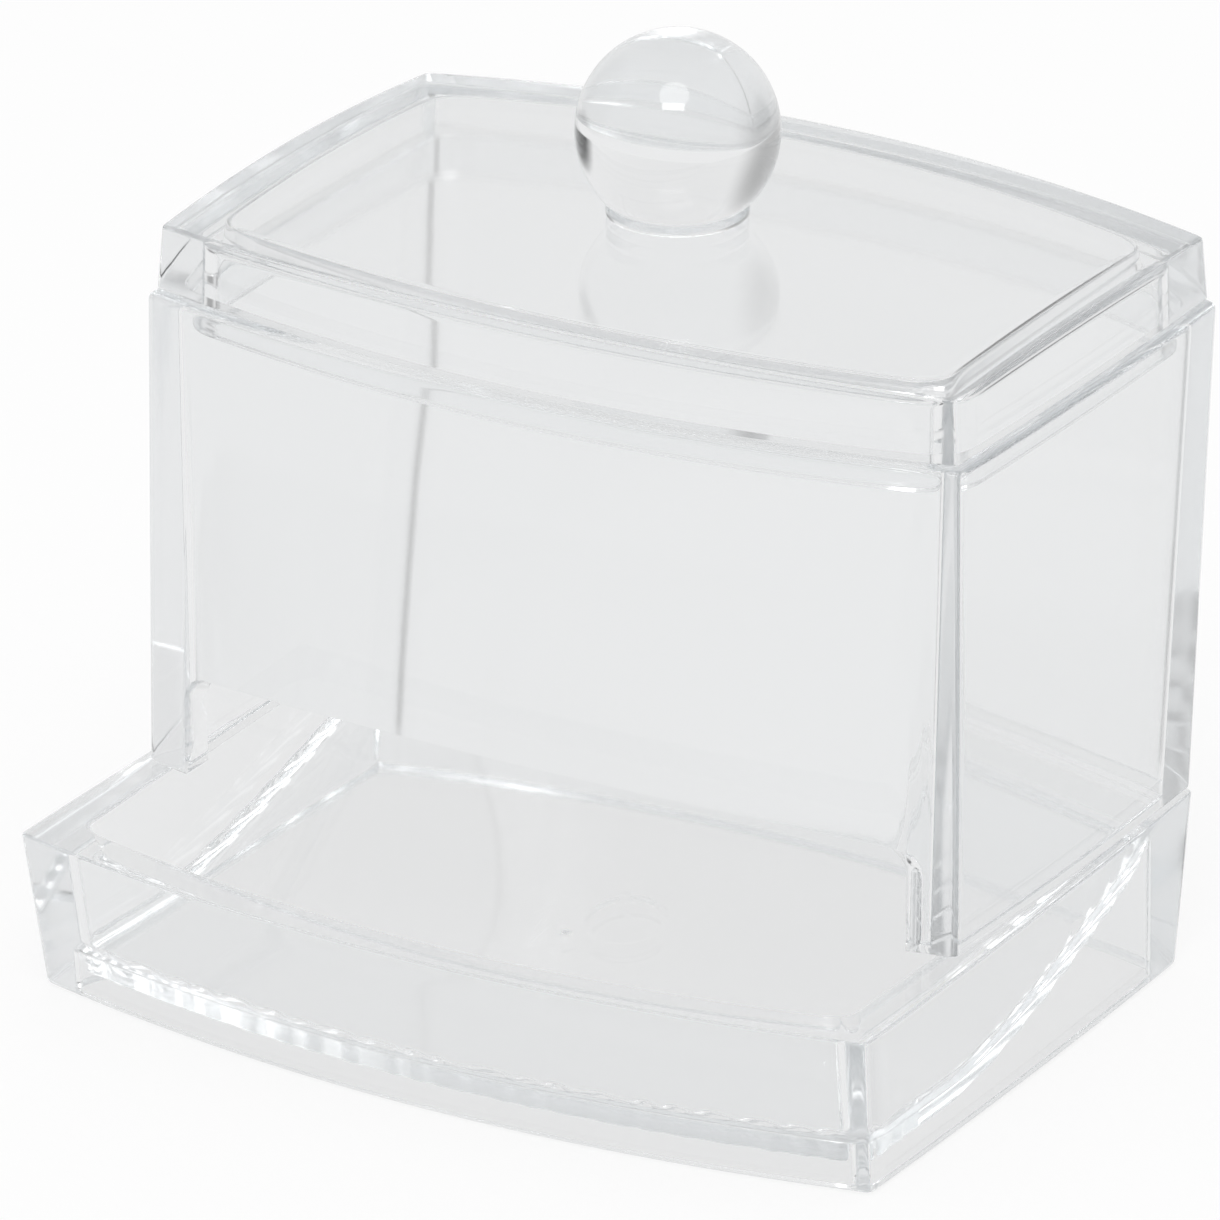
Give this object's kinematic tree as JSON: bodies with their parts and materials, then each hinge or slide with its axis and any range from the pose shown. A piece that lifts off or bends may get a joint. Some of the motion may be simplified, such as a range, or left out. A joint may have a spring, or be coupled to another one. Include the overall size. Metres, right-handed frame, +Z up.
{
  "type": "cotton swab dispenser",
  "caption": "Clear plastic cotton swab dispenser: a box over a ramped front tray, with a lift-off lid and a ball knob.",
  "frame": {"origin": "on the shelf, under the middle of the whole object", "axes": "+Z up, front with the open tray towards -Y, left to right along +X"},
  "size_m": [0.09, 0.0794, 0.0898],
  "materials": {
    "tray_base": "clear gloss",
    "box_walls": "clear gloss",
    "lid": "clear gloss",
    "ball_knob": "clear gloss"
  },
  "bodies": {
    "housing": {"tray_base": "tray_base", "box_walls": "box_walls"},
    "lid_body": {"lid": "lid", "ball_knob": "ball_knob"}
  },
  "joints": [
    {"name": "lid_lift", "type": "slide", "parent": "housing", "child": "lid_body", "axis": [0, 0, 1], "range_m": [0, 0.045]}
  ]
}
